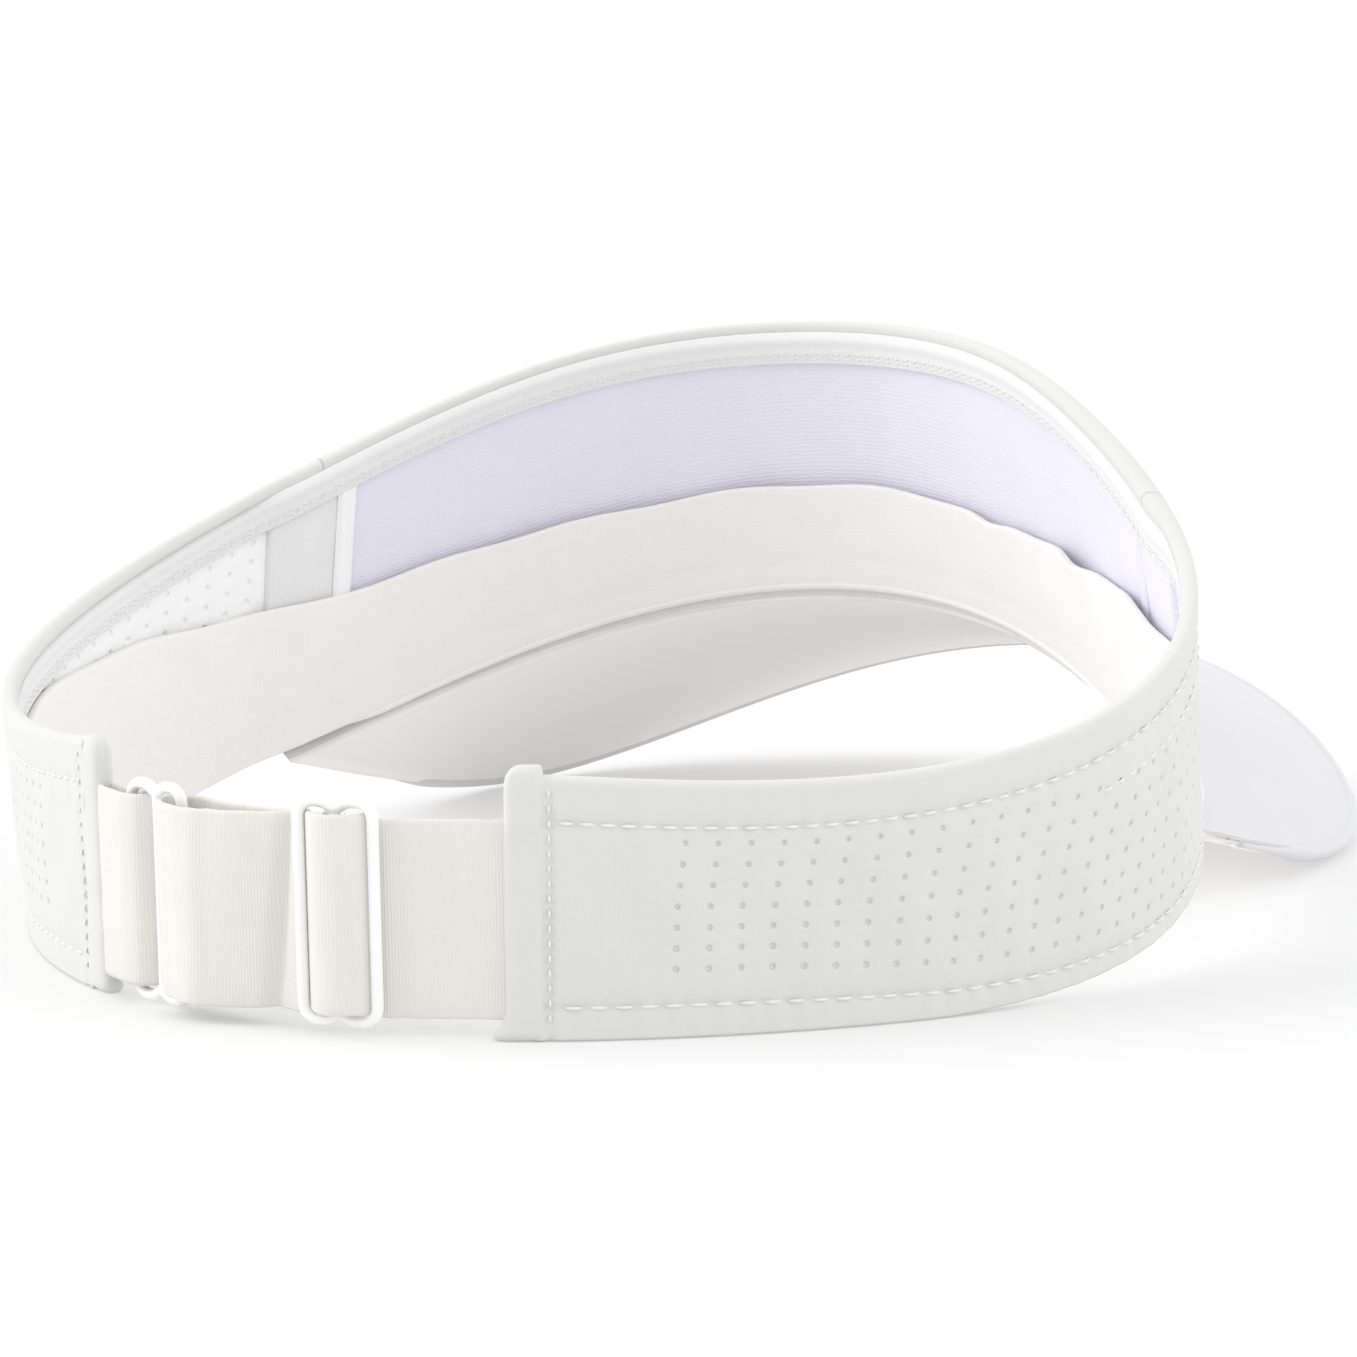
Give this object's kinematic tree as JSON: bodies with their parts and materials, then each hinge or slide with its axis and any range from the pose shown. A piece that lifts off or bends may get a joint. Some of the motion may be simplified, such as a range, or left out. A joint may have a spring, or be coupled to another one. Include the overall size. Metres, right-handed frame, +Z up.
{
  "type": "sun visor",
  "caption": "Open-topped fabric sun visor with a curved brim, perforated side panels, a soft sweatband and an elastic back strap with a slider and a ring.",
  "frame": {"origin": "middle of the visor's footprint at the height of the table that it stands on", "axes": "-Y to the wearer's front, where the brim points; -X to the wearer's right; +Z up through the open crown"},
  "size_m": [0.189, 0.2778, 0.0886],
  "materials": {
    "shell_fabric": "white microfibre, fine matt weave",
    "buckram": "stiffened open-weave cotton",
    "lining_fabric": "pale lavender fine knit",
    "tape_fabric": "white woven tape",
    "sweatband_fabric": "cream brushed towelling knit",
    "brim_plastic": "flexible sheet",
    "brim_fabric": "white microfibre with a cool cast",
    "brim_under_fabric": "warm white microfibre",
    "coated_wire": "white satin nylon coating on wire",
    "elastic": "cream ribbed woven elastic"
  },
  "bodies": {
    "band": {"front_panel": "shell_fabric", "front_stiffener": "buckram", "front_lining": "lining_fabric", "side_panel_right": "shell_fabric", "side_panel_left": "shell_fabric", "end_hem_right": "shell_fabric", "end_hem_left": "shell_fabric", "seam_tape_right": "tape_fabric", "seam_tape_left": "tape_fabric", "facing_tape": "tape_fabric", "sweatband": "sweatband_fabric", "brim_board": "brim_plastic", "brim_top_cover": "brim_fabric", "brim_under_cover": "brim_under_fabric", "brim_binding": "brim_fabric", "brim_seam_piping": "tape_fabric", "strap_tab": "elastic", "strap_main_run": "elastic", "strap_outer_run": "elastic", "strap_inner_run": "elastic"},
    "slider_group": {"slider": "coated_wire", "strap_weave": "elastic", "strap_end_loop": "elastic"},
    "ring_group": {"ring": "coated_wire"}
  },
  "joints": [
    {"name": "slider_travel", "type": "hinge", "parent": "band", "child": "slider_group", "pos_m": [0, 0.05659, 0.01839], "axis": [0, 0.0349, 0.9994], "range_deg": [-9, 9], "deforming": ["strap_main_run", "strap_outer_run", "strap_inner_run"]},
    {"name": "ring_swivel", "type": "hinge", "parent": "band", "child": "ring_group", "pos_m": [0.02556, 0.12918, 0.01586], "axis": [0, 0.0349, 0.9994], "range_deg": [-8, 8]}
  ]
}
